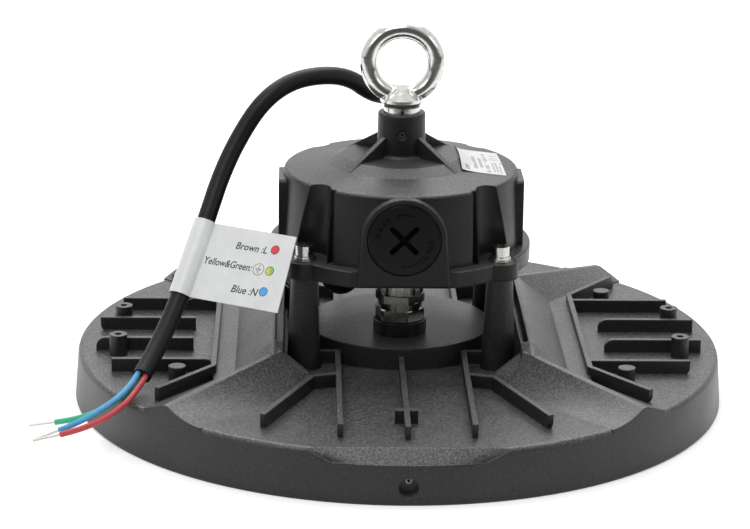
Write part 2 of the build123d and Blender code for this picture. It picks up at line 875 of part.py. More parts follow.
# Screws on the posts, each with a spring washer on a wide flat washer
spring_bottom = flange_top + flat_washer_thickness
head_bottom = spring_bottom + spring_washer_thickness
for x, y in post_places:
    place = ("right" if x > 0 else "left") + "_" + ("rear" if y > 0 else "front")
    with BuildPart() as flat_washer:
        disc(flat_washer_radius, flange_top, spring_bottom, x, y, thread_radius + slide_gap)
    flat_washer.part.label = "flat_washer_" + place
    export_step(flat_washer.part, "parts/flat_washer_" + place + ".step")
    with BuildPart() as spring_washer:
        disc(spring_washer_radius, spring_bottom, head_bottom, x, y, thread_radius + slide_gap)
    spring_washer.part.label = "spring_washer_" + place
    export_step(spring_washer.part, "parts/spring_washer_" + place + ".step")
    with BuildPart() as post_screw:
        disc(screw_head_radius, head_bottom, head_bottom + screw_head_height, x, y)
        disc(thread_radius, drum_bottom - screw_grip, head_bottom, x, y)
        with BuildSketch(Plane.XY.offset(head_bottom + screw_head_height)):
            with Locations((x, y)):
                RegularPolygon(radius=screw_socket_width / 2, side_count=6, major_radius=False)
        extrude(amount=-screw_socket_depth, mode=Mode.SUBTRACT)
    post_screw.part.label = "post_screw_" + place
    export_step(post_screw.part, "parts/post_screw_" + place + ".step")

# Eye bolt: ring, collar and thread
washer_top = boss_top + lock_washer_thickness
wire_radius = (eye_outer_radius - eye_inner_radius) / 2
with BuildPart() as eye_bolt:
    with BuildSketch(Plane.XZ):
        with BuildLine():
            Polyline(
                (0, boss_top - bolt_thread_length),
                (bolt_thread_radius, boss_top - bolt_thread_length),
                (bolt_thread_radius, washer_top),
                (collar_bottom_radius, washer_top),
                (collar_radius, collar_belt),
                (collar_radius, collar_belt + 1.5),
                (wire_radius * 1.3, collar_neck),
                (0, collar_neck),
                close=True,
            )
        make_face()
    revolve(axis=Axis.Z)
    # The hole of the eye stays open above the collar
    with BuildSketch(Plane.XZ):
        with Locations((0, eye_height)):
            Circle(eye_inner_radius)
    extrude(amount=collar_radius, both=True, mode=Mode.SUBTRACT)
    with BuildSketch(Plane.XY.offset(eye_height)):
        with Locations(((eye_outer_radius + eye_inner_radius) / 2, 0)):
            Circle(wire_radius)
    revolve(axis=Axis((0, 0, eye_height), (0, 1, 0)))
eye_bolt.part.label = "eye_bolt"
export_step(eye_bolt.part, "parts/eye_bolt.step")

with BuildPart() as eye_bolt_washer:
    disc(lock_washer_radius, boss_top, washer_top, inner=bolt_thread_radius + slide_gap)
    with BuildSketch(Plane.XY.offset(boss_top)):
        with Locations((0, -lock_washer_radius / 2)):
            Rectangle(lock_washer_cut, lock_washer_radius)
    extrude(amount=lock_washer_thickness, mode=Mode.SUBTRACT)
eye_bolt_washer.part.label = "eye_bolt_washer"
export_step(eye_bolt_washer.part, "parts/eye_bolt_washer.step")

with BuildPart() as grub_screw:
    grub_tip = bolt_thread_radius + slide_gap
    with BuildSketch(Plane.XZ.offset(grub_tip)):
        with Locations((0, cross_hole_height)):
            Circle(cross_hole_radius)
    extrude(amount=grub_length)
    with BuildSketch(Plane.XZ.offset(grub_tip + grub_length)):
        with Locations((0, cross_hole_height)):
            RegularPolygon(radius=grub_socket, side_count=6)
    extrude(amount=-grub_length / 2, mode=Mode.SUBTRACT)
grub_screw.part.label = "grub_screw"
export_step(grub_screw.part, "parts/grub_screw.step")

# Twist-lock plug of the port and its seal
plug_back = port_face - port_recess + seal_gap + seal_thickness
with BuildPart() as port_plug:
    with BuildSketch(Plane.XZ.offset(plug_back)):
        with Locations((0, port_height)):
            Circle(plug_radius)
    extrude(amount=plug_thickness)
    fillet(port_plug.faces().sort_by(Axis.Y)[0].edges(), plug_crown_round)
    with BuildSketch(Plane.XZ.offset(plug_back)):
        with Locations((0, port_height)):
            Circle(plug_stem_radius)
    extrude(amount=-plug_stem_length)
    for side in (-1, 1):
        with BuildSketch(Plane.XZ.offset(plug_back - plug_stem_length)):
            with Locations((side * (plug_stem_radius - plug_lug_reach), port_height)):
                Rectangle(4 * plug_lug_reach, plug_lug_width)
        extrude(amount=plug_lug_thickness)
    for turn in (45, -45):
        with BuildSketch(Plane.XZ.offset(plug_back + plug_thickness)):
            with Locations(Location((0, port_height), turn)):
                SlotOverall(plug_slot_length, plug_slot_width)
        extrude(amount=-plug_slot_depth, mode=Mode.SUBTRACT)
port_plug.part.label = "port_plug"
export_step(port_plug.part, "parts/port_plug.step")

with BuildPart() as port_seal:
    with BuildSketch(Plane.XZ.offset(plug_back - seal_thickness)):
        with Locations((0, port_height)):
            Circle(plug_radius - slide_gap)
            Circle(port_bore_radius + slide_gap, mode=Mode.SUBTRACT)
    extrude(amount=seal_thickness)
port_seal.part.label = "port_seal"
export_step(port_seal.part, "parts/port_seal.step")

# Link gland between the plateau and the housing
ring_top = plateau_top + link_ring_height
hex_top = ring_top + link_nut_height
waist_top = hex_top + link_waist_height
nut_top = waist_top + link_top_nut_height
with BuildPart() as link_ring:
    disc(link_ring_radius, plateau_top, ring_top, 0, -link_y)
    fillet(link_ring.edges().filter_by(GeomType.CIRCLE).group_by(Axis.Z)[-1], 1.2)
link_ring.part.label = "link_ring"
export_step(link_ring.part, "parts/link_ring.step")

with BuildPart() as link_gland:
    chamfered_nut(0, -link_y, ring_top, hex_top)
    disc(link_waist_radius, hex_top, waist_top, 0, -link_y)
link_gland.part.label = "link_gland"
export_step(link_gland.part, "parts/link_gland.step")

with BuildPart() as link_nut:
    chamfered_nut(0, -link_y, waist_top, nut_top)
link_nut.part.label = "link_nut"
export_step(link_nut.part, "parts/link_nut.step")

with BuildPart() as link_sleeve:
    disc(link_sleeve_radius, nut_top, drum_bottom, 0, -link_y)
    chamfer(link_sleeve.edges().group_by(Axis.Z)[0], link_sleeve_chamfer)
link_sleeve.part.label = "link_sleeve"
export_step(link_sleeve.part, "parts/link_sleeve.step")

# Elbow gland that brings the mains cable out under the housing towards the rear
elbow_face = elbow_y + elbow_arm
dome_start = elbow_face + elbow_nut_length
cable_start_y = dome_start + elbow_dome
with BuildPart() as elbow_gland:
    disc(elbow_neck_radius, elbow_height, cover_top, elbow_x, elbow_y)
    with Locations((elbow_x, elbow_y, elbow_height)):
        Sphere(elbow_radius)
    with BuildSketch(Plane.XZ.offset(-elbow_y)):
        with Locations((elbow_x, elbow_height)):
            Circle(elbow_radius - 0.6)
    extrude(amount=-elbow_arm)
elbow_gland.part.label = "elbow_gland"
export_step(elbow_gland.part, "parts/elbow_gland.step")

with BuildPart() as elbow_nut:
    with BuildSketch(Plane.XZ.offset(-elbow_face)):
        with Locations((elbow_x, elbow_height)):
            Circle(elbow_nut_radius)
    extrude(amount=-elbow_nut_length)
    with BuildSketch(Plane.XZ.offset(-dome_start)):
        with Locations((elbow_x, elbow_height)):
            Circle(elbow_nut_radius - 1.0)
    with BuildSketch(Plane.XZ.offset(-cable_start_y)):
        with Locations((elbow_x, elbow_height)):
            Circle(cable_radius + 1.2)
    loft()
elbow_nut.part.label = "elbow_nut"
export_step(elbow_nut.part, "parts/elbow_nut.step")

# Mains cable: out of the gland, round behind the housing and down over the left side
cable_route = [
    (elbow_x, cable_start_y, elbow_height),
    (elbow_x, 74.0, elbow_height),
    (-14.0, 106.0, 74.0),
    (7.0, 108.0, 110.0),
    (3.0, 76.0, 134.0),
    (-11.0, 45.0, 138.0),
    (-29.0, 29.0, 155.0),
    (-62.0, 10.0, 153.0),
    (-84.0, -4.0, 122.0),
    (-97.0, -29.0, 86.0),
    (-112.0, -54.0, 47.0),
    (-123.0, -79.0, 33.0),
]
with BuildPart() as power_cable:
    cable_length = routed(cable_route, cable_radius)
power_cable.part.label = "power_cable"
export_step(power_cable.part, "parts/power_cable.step")
fill = power_cable.part.volume / (pi * cable_radius**2 * cable_length)
print("power_cable", round(cable_length, 1), "mm, volume over section times length", round(fill, 4))

# Three cores leave the cut end of the cable and end in bare strands
cut_end = Vector(*cable_route[-1])
cut_along = (cut_end - Vector(*cable_route[-2])).normalized()
core_start = 8.0
core_turns = {"core_blue": 50.0, "core_red": 170.0, "core_green": 290.0}
core_routes = {
    "core_blue": [(-133.8, -94.0, 26.6), (-149.2, -100.0, 18.0), (-160.5, -99.0, 13.0)],
    "core_red": [(-131.0, -98.0, 24.0), (-147.0, -103.0, 15.5), (-159.7, -103.0, 12.4)],
    "core_green": [(-135.0, -88.5, 24.2), (-148.0, -91.0, 16.2), (-163.2, -88.0, 13.0)],
}
level = cut_along.cross(Vector(0, 0, 1)).normalized()
rise = level.cross(cut_along)
ends = []
for name, turn in core_turns.items():
    off = level * (core_ring * cos(radians(turn))) + rise * (core_ring * sin(radians(turn)))
    start = cut_end + off
    route = [tuple(start), tuple(start + cut_along * core_start)] + core_routes[name]
    with BuildPart() as core:
        core_length = routed(route, core_radius)
    core.part.label = name
    export_step(core.part, "parts/" + name + ".step")
    fill = core.part.volume / (pi * core_radius**2 * core_length)
    print(name, round(core_length, 1), "mm, volume over section times length", round(fill, 4))
    ends.append((Vector(*route[-1]), (Vector(*route[-1]) - Vector(*route[-2])).normalized()))

with BuildPart() as core_strands:
    for tip, along in ends:
        with BuildSketch(Plane(origin=tip, z_dir=along)):
            Circle(strand_radius)
        extrude(amount=strand_length)
core_strands.part.label = "core_strands"
export_step(core_strands.part, "parts/core_strands.step")

# Folded flag label that is wrapped once round the cable
label_axis = (Vector(*cable_route[-3]) - Vector(*cable_route[-2])).normalized()
label_low = Vector(*cable_route[-2]) + label_axis * label_start
label_out = Vector(0.846, -0.531, 0)
label_out = (label_out - label_axis * label_out.dot(label_axis)).normalized()
label_face = label_out.cross(label_axis)
with BuildPart() as wire_label:
    with BuildSketch(Plane(origin=label_low, x_dir=label_out, z_dir=label_axis)):
        Circle(cable_radius + label_gap + 2 * label_thickness)
        Circle(cable_radius + label_gap, mode=Mode.SUBTRACT)
    extrude(amount=label_length)
    with BuildSketch(Plane(origin=label_low, x_dir=label_out, z_dir=label_face)):
        with BuildLine():
            Polyline(
                (cable_radius + label_gap, 0),
                (label_reach_low, 0),
                (label_reach_high, label_length),
                (cable_radius + label_gap, label_length),
                close=True,
            )
        make_face()
    extrude(amount=label_thickness, both=True)
wire_label.part.label = "wire_label"
export_step(wire_label.part, "parts/wire_label.step")
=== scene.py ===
from math import cos, radians, sin

import bmesh
import bpy
from mathutils import Matrix, Vector


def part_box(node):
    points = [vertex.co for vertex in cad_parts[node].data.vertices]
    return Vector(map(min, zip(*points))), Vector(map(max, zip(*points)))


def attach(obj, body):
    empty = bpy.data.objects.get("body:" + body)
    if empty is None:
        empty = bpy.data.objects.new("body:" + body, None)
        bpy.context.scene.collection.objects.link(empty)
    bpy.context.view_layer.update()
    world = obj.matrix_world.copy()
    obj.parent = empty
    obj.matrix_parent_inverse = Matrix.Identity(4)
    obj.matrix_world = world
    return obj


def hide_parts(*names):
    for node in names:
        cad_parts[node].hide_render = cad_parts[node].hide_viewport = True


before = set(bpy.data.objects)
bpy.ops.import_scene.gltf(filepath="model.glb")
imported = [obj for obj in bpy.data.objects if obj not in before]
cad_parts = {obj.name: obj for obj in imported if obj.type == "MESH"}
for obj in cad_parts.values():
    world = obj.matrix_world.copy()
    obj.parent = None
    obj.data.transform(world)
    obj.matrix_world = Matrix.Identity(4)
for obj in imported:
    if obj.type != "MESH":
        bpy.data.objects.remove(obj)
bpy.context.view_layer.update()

bl_info = {
    "name": "High bay light",
    "version": (1, 0, 0),
    "blender": (4, 5, 0),
    "location": "View3D > Sidebar > High bay",
    "description": "Finishes, cords and printed marks of a round high bay light",
    "category": "Object",
}

MM = 0.001
FIXTURE = "fixture"
PLUG = "plug"
CORNERS = ("left_front", "left_rear", "right_front", "right_rear")
WHOLE_TURN = 360.0


# Colours


def linear(hex_colour):
    """Linear RGBA of an sRGB hex colour such as 'c8c9cb'."""
    channels = [int(hex_colour[i:i + 2], 16) / 255 for i in (0, 2, 4)]
    return tuple(c / 12.92 if c <= 0.04045 else ((c + 0.055) / 1.055) ** 2.4 for c in channels) + (1.0,)


# Node building


def node(tree, kind, *inputs, stops=(), **settings):
    """Adds one node. Values and other nodes' outputs go to its inputs, in order or by name, and the rest of the
    settings are its own properties. Stops are the positions and colours of a colour ramp."""
    new = tree.nodes.new(kind)
    places = dict(enumerate(inputs))
    for key, value in settings.items():
        name = key.replace("_", " ")
        if name in new.inputs:
            places[name] = value
        else:
            setattr(new, key, value)
    for place, value in places.items():
        if isinstance(value, bpy.types.NodeSocket):
            tree.links.new(value, new.inputs[place])
        else:
            new.inputs[place].default_value = value
    for number, (position, colour) in enumerate(stops):
        elements = new.color_ramp.elements
        stop = elements[number] if number < 2 else elements.new(position)
        stop.position = position
        stop.color = colour
    return new


def new_finish(name):
    """An empty node material, its tree and the object's own coordinates in it."""
    finish = bpy.data.materials.new(name)
    finish.use_nodes = True
    tree = finish.node_tree
    tree.nodes.clear()
    return finish, tree, node(tree, "ShaderNodeTexCoord").outputs["Object"]


def grey(value):
    """A neutral linear colour."""
    return (value, value, value, 1.0)


def scaled(colour, factor):
    """A linear colour made lighter or darker."""
    return tuple(min(1.0, c * factor) for c in colour[:3]) + (1.0,)


# Finishes


def powder_coated_casting(name, colour, grit_and_top_light, grain_mm, relief, wall=0.1, gloss_level=0.4):
    """Semi-gloss black polyester powder on die-cast aluminium.

    The baked powder leaves an orange-peel skin over the sandy grain of the casting. On the faces that look up
    the grain is painted paler, as a painted highlight of the light from above, while the walls stay near black.
    The number after the colour is how much paler the grain and its painted highlight get, and wall is the share
    of that which shows on an upright face.
    """
    finish, tree, place = new_finish(name)
    # The grain is about 0.4 mm on the real part. It is drawn 2 to 3 times as coarse, so that it shows
    grain = node(tree, "ShaderNodeTexNoise", Vector=place, Scale=1 / (grain_mm * MM), Detail=3.0, Roughness=0.7)
    peel = node(tree, "ShaderNodeTexNoise", Vector=place, Scale=1 / (6.0 * MM), Detail=2.0, Roughness=0.5)
    handled = node(tree, "ShaderNodeTexNoise", Vector=place, Scale=1 / (45.0 * MM), Detail=2.0, Roughness=0.5)
    # Painted highlight: the pale flecks of grain are kept to the faces that look up, standing in for the light from
    # above, and only the wall share of them shows on upright faces
    facing = node(tree, "ShaderNodeNewGeometry").outputs["Normal"]
    rise = node(tree, "ShaderNodeSeparateXYZ", facing).outputs["Z"]
    painted_top_light = node(tree, "ShaderNodeMapRange", rise, 0.1, 0.75, wall, 1.0).outputs[0]
    flecks = node(
        tree, "ShaderNodeValToRGB", grain.outputs["Fac"], stops=((0.4, grey(0.12)), (0.72, grey(1.0))),
    ).outputs["Color"]
    grain_and_top_light_mask = node(tree, "ShaderNodeMath", flecks, painted_top_light, operation="MULTIPLY").outputs[0]
    dark = linear(colour)
    pale = tuple(c + grit_and_top_light for c in dark[:3]) + (1.0,)
    base = node(tree, "ShaderNodeValToRGB", grain_and_top_light_mask, stops=((0.0, dark), (1.0, pale))).outputs["Color"]
    gloss = node(
        tree, "ShaderNodeValToRGB", handled.outputs["Fac"], stops=((0.3, grey(0.34)), (0.7, grey(0.46))),
    ).outputs["Color"]
    # The castings' edges are rounded by about 1 mm, which catches the light along every fin
    broken = node(tree, "ShaderNodeBevel", Radius=1.1 * MM, samples=4).outputs["Normal"]
    fine = node(
        tree, "ShaderNodeBump", Height=grain.outputs["Fac"], Normal=broken, Strength=relief, Distance=0.12 * MM,
    )
    skin = node(
        tree, "ShaderNodeBump", Height=peel.outputs["Fac"], Normal=fine.outputs["Normal"],
        Strength=0.25, Distance=0.15 * MM,
    )
    shader = node(
        tree, "ShaderNodeBsdfPrincipled", Base_Color=base, Roughness=gloss, Normal=skin.outputs["Normal"],
        Specular_IOR_Level=gloss_level,
    )
    node(tree, "ShaderNodeOutputMaterial", Surface=shader.outputs[0])
    return finish


def bright_metal(name, colour, roughness, dull, mark_mm, depth_mm, relief, stretch=1.0):
    """Plated or plain turned and forged metal.

    Its reflections wander with the hammered or turned skin under the plating, and handling has dulled it in
    patches. Dull is how bright those are against the rest, and stretch draws the marks out upright.
    """
    finish, tree, place = new_finish(name)
    drawn = node(tree, "ShaderNodeVectorMath", place, (1.0, 1.0, 1 / stretch), operation="MULTIPLY")
    marks = node(
        tree, "ShaderNodeTexNoise", Vector=drawn.outputs[0], Scale=1 / (mark_mm * MM), Detail=3.0, Roughness=0.5,
    )
    tone = linear(colour)
    base = node(
        tree, "ShaderNodeValToRGB", marks.outputs["Fac"], stops=((0.34, scaled(tone, dull)), (0.62, tone)),
    ).outputs["Color"]
    gloss = node(
        tree, "ShaderNodeValToRGB", marks.outputs["Fac"],
        stops=((0.3, grey(roughness * 1.5)), (0.65, grey(roughness * 0.8))),
    ).outputs["Color"]
    bump = node(
        tree, "ShaderNodeBump", Height=marks.outputs["Fac"], Strength=relief, Distance=depth_mm * MM,
    ).outputs["Normal"]
    shader = node(
        tree, "ShaderNodeBsdfPrincipled", Base_Color=base, Roughness=gloss, Normal=bump, Metallic=1.0,
    )
    node(tree, "ShaderNodeOutputMaterial", Surface=shader.outputs[0])
    return finish


def moulded_plastic(name, colour, roughness, grain_mm, relief=0.15, gloss_level=0.4):
    """Moulded nylon, PVC or rubber: an even colour with a faint moulding grain and slightly uneven gloss."""
    finish, tree, place = new_finish(name)
    grain = node(tree, "ShaderNodeTexNoise", Vector=place, Scale=1 / (grain_mm * MM), Detail=3.0, Roughness=0.55)
    tone = linear(colour)
    base = node(
        tree, "ShaderNodeValToRGB", grain.outputs["Fac"], stops=((0.3, scaled(tone, 0.8)), (0.7, tone)),
    ).outputs["Color"]
    gloss = node(
        tree, "ShaderNodeValToRGB", grain.outputs["Fac"],
        stops=((0.3, grey(roughness * 1.15)), (0.7, grey(roughness * 0.85))),
    ).outputs["Color"]
    bump = node(
        tree, "ShaderNodeBump", Height=grain.outputs["Fac"], Strength=relief, Distance=0.06 * MM,
    ).outputs["Normal"]
    shader = node(
        tree, "ShaderNodeBsdfPrincipled", Base_Color=base, Roughness=gloss, Normal=bump,
        Specular_IOR_Level=gloss_level,
    )
    node(tree, "ShaderNodeOutputMaterial", Surface=shader.outputs[0])
    return finish


def nylon_with_painted_slot_shade(name, colour, face):
    """Glossy moulded nylon whose screwdriver slots are matt and painted darker than its face, as painted shade in them.
    The face is at this depth.
    """
    finish, tree, place = new_finish(name)
    grain = node(tree, "ShaderNodeTexNoise", Vector=place, Scale=1 / (3.0 * MM), Detail=3.0, Roughness=0.55)
    behind = node(tree, "ShaderNodeSeparateXYZ", place).outputs["Y"]
    # Painted shade in the slots, from 0.3 mm behind the face, where the slots begin, to its full darkness at 1.4 mm
    depth = node(tree, "ShaderNodeMapRange", behind, face + 0.3 * MM, face + 1.4 * MM, 0.0, 1.0).outputs[0]
    base = node(
        tree, "ShaderNodeValToRGB", depth, stops=((0.0, linear(colour)), (1.0, linear("020202"))),
    ).outputs["Color"]
    gloss = node(
        tree, "ShaderNodeValToRGB", depth, stops=((0.0, grey(0.2)), (1.0, grey(0.9))),
    ).outputs["Color"]
    bump = node(tree, "ShaderNodeBump", Height=grain.outputs["Fac"], Strength=0.12, Distance=0.06 * MM)
    shader = node(
        tree, "ShaderNodeBsdfPrincipled", Base_Color=base, Roughness=gloss, Normal=bump.outputs["Normal"],
        Specular_IOR_Level=0.12,
    )
    node(tree, "ShaderNodeOutputMaterial", Surface=shader.outputs[0])
    return finish


def striped_insulation(name, green, yellow):
    """Extruded PVC of an earth core: satin green with one yellow stripe, where the skin faces one way."""
    stripe_side = (0.1, 0.62, -0.78)
    finish, tree, place = new_finish(name)
    grain = node(tree, "ShaderNodeTexNoise", Vector=place, Scale=1 / (2.0 * MM), Detail=2.0, Roughness=0.5)
    facing = node(tree, "ShaderNodeNewGeometry").outputs["Normal"]
    toward = node(tree, "ShaderNodeVectorMath", facing, stripe_side, operation="DOT_PRODUCT").outputs["Value"]
    base = node(
        tree, "ShaderNodeValToRGB", toward, stops=((0.0, linear(green)), (0.79, linear(green)), (0.83, linear(yellow))),
    ).outputs["Color"]
    bump = node(
        tree, "ShaderNodeBump", Height=grain.outputs["Fac"], Strength=0.15, Distance=0.05 * MM,
    ).outputs["Normal"]
    shader = node(tree, "ShaderNodeBsdfPrincipled", Base_Color=base, Roughness=0.34, Normal=bump)
    node(tree, "ShaderNodeOutputMaterial", Surface=shader.outputs[0])
    return finish


def printed_film(name, colour, roughness):
    """Polyester label film or its ink: smooth and even, with a faint mottle from the adhesive behind it."""
    finish, tree, place = new_finish(name)
    mottle = node(tree, "ShaderNodeTexNoise", Vector=place, Scale=1 / (9.0 * MM), Detail=3.0, Roughness=0.5)
    tone = linear(colour)
    base = node(
        tree, "ShaderNodeValToRGB", mottle.outputs["Fac"], stops=((0.35, scaled(tone, 0.93)), (0.65, tone)),
    ).outputs["Color"]
    bump = node(
        tree, "ShaderNodeBump", Height=mottle.outputs["Fac"], Strength=0.2, Distance=0.1 * MM,
    ).outputs["Normal"]
    shader = node(tree, "ShaderNodeBsdfPrincipled", Base_Color=base, Roughness=roughness, Normal=bump)
    node(tree, "ShaderNodeOutputMaterial", Surface=shader.outputs[0])
    return finish


def clear_polycarbonate(name):
    """Clear moulded polycarbonate plate: glass-like with a faint milky flow texture."""
    finish, tree, place = new_finish(name)
    flow = node(tree, "ShaderNodeTexNoise", Vector=place, Scale=1 / (12.0 * MM), Detail=2.0, Roughness=0.5)
    gloss = node(
        tree, "ShaderNodeValToRGB", flow.outputs["Fac"], stops=((0.3, grey(0.04)), (0.7, grey(0.09))),
    ).outputs["Color"]
    shader = node(
        tree, "ShaderNodeBsdfPrincipled", Base_Color=linear("f4f7f8"), Roughness=gloss,
        IOR=1.585, Transmission_Weight=0.92,
    )
    node(tree, "ShaderNodeOutputMaterial", Surface=shader.outputs[0])
    return finish


# Settings that a user would change


class HighBayColours(bpy.types.PropertyGroup):
    """Colours of the visible finishes, as sRGB hex values."""

    casting: bpy.props.StringProperty(
        name="Casting", description="Powder coat of both castings", default="121314",
    )
    sheath: bpy.props.StringProperty(
        name="Cable sheath", description="Rubber of the mains cable", default="151616",
    )
    blue_core: bpy.props.StringProperty(
        name="Blue core", description="Insulation of the neutral core", default="5aa9dc",
    )
    brown_core: bpy.props.StringProperty(
        name="Brown core", description="Insulation of the live core", default="c4464b",
    )
    green_core: bpy.props.StringProperty(
        name="Green core", description="Green of the earth core", default="35b088",
    )
    yellow_stripe: bpy.props.StringProperty(
        name="Yellow stripe", description="Stripe of the earth core", default="d9cf5a",
    )
    label: bpy.props.StringProperty(
        name="Label", description="Film of the folded label", default="dcdedd",
    )
    ink: bpy.props.StringProperty(
        name="Ink", description="Black print on the label", default="2b2c2e",
    )
    red_ink: bpy.props.StringProperty(
        name="Red ink", description="Dot of the live core on the label", default="d6404a",
    )
    yellow_ink: bpy.props.StringProperty(
        name="Yellow ink", description="Half of the earth core's dot on the label", default="ddc84e",
    )
    green_ink: bpy.props.StringProperty(
        name="Green ink", description="Other half of the earth core's dot", default="7cc46a",
    )
    blue_ink: bpy.props.StringProperty(
        name="Blue ink", description="Dot of the neutral core on the label", default="4da4e8",
    )
    sticker: bpy.props.StringProperty(
        name="Sticker", description="Film of the sticker on the crown", default="cfd0d0",
    )
    fields: bpy.props.StringProperty(
        name="Sticker fields", description="Grey fields printed on the sticker", default="999b9d",
    )


class HighBaySizes(bpy.types.PropertyGroup):
    """Sizes of the pieces that only the scene has."""

    cable: bpy.props.FloatProperty(
        name="Cable", description="Diameter of the mains cable", default=8.9 * MM, unit="LENGTH",
    )
    core: bpy.props.FloatProperty(
        name="Core", description="Diameter of one core", default=2.8 * MM, unit="LENGTH",
    )
    ink: bpy.props.FloatProperty(
        name="Ink", description="Thickness of the printed marks", default=0.05 * MM, unit="LENGTH",
    )
    film: bpy.props.FloatProperty(
        name="Film", description="Thickness of the sticker", default=0.15 * MM, unit="LENGTH",
    )
    relief: bpy.props.FloatProperty(
        name="Relief", description="Height of the plug's moulded marks", default=0.3 * MM, unit="LENGTH",
    )
    floor: bpy.props.FloatProperty(
        name="Floor", description="Side of the floor", default=30.0, unit="LENGTH",
    )


# Shared making


def settings():
    """The colours and sizes that the panel shows."""
    return bpy.context.scene.high_bay_colours, bpy.context.scene.high_bay_sizes


def dress(names, finish):
    """Puts one finish on every material slot of the named nodes."""
    for name in names:
        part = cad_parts[name]
        if not part.material_slots:
            part.data.materials.append(finish)
        for held in part.material_slots:
            held.link = "OBJECT"
            held.material = finish


def add_piece(name, data, finishes, body):
    """Adds an object for this mesh or curve, which rides on a body."""
    piece = bpy.data.objects.new(name, data)
    bpy.context.scene.collection.objects.link(piece)
    for finish in finishes:
        data.materials.append(finish)
    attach(piece, body)
    return piece


def spline_tube(name, route, diameter, roundness):
    """A round tube along one smooth open spline whose control points are the route, in millimetres."""
    curve = bpy.data.curves.new(name, "CURVE")
    curve.dimensions = "3D"
    line = curve.splines.new("NURBS")
    line.points.add(len(route) - 1)
    for point, place in zip(line.points, route):
        point.co = (place[0] * MM, place[1] * MM, place[2] * MM, 1.0)
    line.order_u = 3
    line.use_endpoint_u = True
    line.resolution_u = 24
    curve.bevel_depth = diameter / 2
    curve.bevel_resolution = roundness
    curve.use_fill_caps = True
    return curve


def spline_length(curve):
    """Length of the curve's own line."""
    bare = curve.copy()
    bare.bevel_depth = 0.0
    holder = bpy.data.objects.new("measure", bare)
    mesh = bpy.data.meshes.new_from_object(holder)
    total = sum((mesh.vertices[e.vertices[0]].co - mesh.vertices[e.vertices[1]].co).length for e in mesh.edges)
    bpy.data.objects.remove(holder)
    bpy.data.curves.remove(bare)
    bpy.data.meshes.remove(mesh)
    return total


# Marks. Each builder adds a closed solid to a bmesh. place(u, v, h) gives the point in metres for a place on the
# marked face in millimetres and a height above it in metres, and finish is the number of the mark's material.

ARC_STEP = 9.0
LETTER_RAISE = 0.5
LETTER_WEIGHT = 0.012
WELD = 0.002 * MM


def prism(marks, place, outline, low, high, finish):
    """A flat prism over an outline."""
    tops = [marks.verts.new(place(u, v, high)) for u, v in outline]
    feet = [marks.verts.new(place(u, v, low)) for u, v in outline]
    faces = [tops, feet[::-1]]
    for k in range(len(outline)):
        n = (k + 1) % len(outline)
        faces.append((tops[n], tops[k], feet[k], feet[n]))
    for corners in faces:
        marks.faces.new(corners).material_index = finish


def arc(centre, radius, start, end, steps):
    """Points along an arc, with its angles in degrees."""
    turns = [radians(start + (end - start) * k / steps) for k in range(steps + 1)]
    return [(centre[0] + radius * cos(turn), centre[1] + radius * sin(turn)) for turn in turns]


def band(marks, place, centre, inner, outer, start, end, low, high, finish):
    """A curved band between two radii. It closes on itself where it makes a whole turn."""
    steps = max(6, round(abs(end - start) / ARC_STEP))
    whole = abs(end - start) >= WHOLE_TURN
    rows = [
        [marks.verts.new(place(*point, height)) for point, height in ((o, high), (i, high), (i, low), (o, low))]
        for i, o in zip(arc(centre, inner, start, end, steps), arc(centre, outer, start, end, steps))
    ]
    if whole:
        for vertex in rows.pop():
            marks.verts.remove(vertex)
    faces = []
    for k in range(len(rows) if whole else len(rows) - 1):
        here, there = rows[k], rows[(k + 1) % len(rows)]
        faces += [(here[c], here[(c + 1) % 4], there[(c + 1) % 4], there[c]) for c in range(4)]
    if not whole:
        faces += [rows[0][::-1], rows[-1]]
    for corners in faces:
        marks.faces.new(corners).material_index = finish


def film(marks, place, left, bottom, right, top, low, high, finish, step=2.0):
    """A rectangle of film that follows a curved face in cells of about one step."""
    across = max(1, round((right - left) / step))
    along = max(1, round((top - bottom) / step))
    layers = []
    for height in (low, high):
        layers.append([
            [
                marks.verts.new(place(left + (right - left) * i / across, bottom + (top - bottom) * j / along, height))
                for i in range(across + 1)
            ]
            for j in range(along + 1)
        ])
    faces = []
    for layer in layers:
        for j in range(along):
            for i in range(across):
                faces.append((layer[j][i], layer[j][i + 1], layer[j + 1][i + 1], layer[j + 1][i]))
    low_layer, high_layer = layers
    edge = [(0, i) for i in range(across)] + [(j, across) for j in range(along)]
    edge += [(along, i) for i in range(across, 0, -1)] + [(j, 0) for j in range(along, 0, -1)]
    for (j, i), (n, m) in zip(edge, edge[1:] + edge[:1]):
        faces.append((low_layer[j][i], low_layer[n][m], high_layer[n][m], high_layer[j][i]))
    for corners in faces:
        marks.faces.new(corners).material_index = finish


def lettering(marks, place, text, left, bottom, right, top, slant, low, high, finish):
    """Plain letters that fill a rectangle and lean by the slant."""
    curve = bpy.data.curves.new("letters", "FONT")
    curve.body = text
    curve.resolution_u = 3
    curve.extrude = LETTER_RAISE
    curve.offset = LETTER_WEIGHT
    holder = bpy.data.objects.new("letters", curve)
    mesh = bpy.data.meshes.new_from_object(holder)
    places = [v.co.copy() for v in mesh.vertices]
    first, last = min(p.x for p in places), max(p.x for p in places)
    base, cap = min(p.y for p in places), max(p.y for p in places)
    corners = []
    for p in places:
        v = (p.y - base) / (cap - base) * (top - bottom)
        u = left + (p.x - first) / (last - first) * (right - left) + v * slant
        height = low + (p.z + LETTER_RAISE) / (2 * LETTER_RAISE) * (high - low)
        corners.append(marks.verts.new(place(u, bottom + v, height)))
    for face in mesh.polygons:
        marks.faces.new([corners[k] for k in face.vertices]).material_index = finish
    bpy.data.objects.remove(holder)
    bpy.data.curves.remove(curve)
    bpy.data.meshes.remove(mesh)


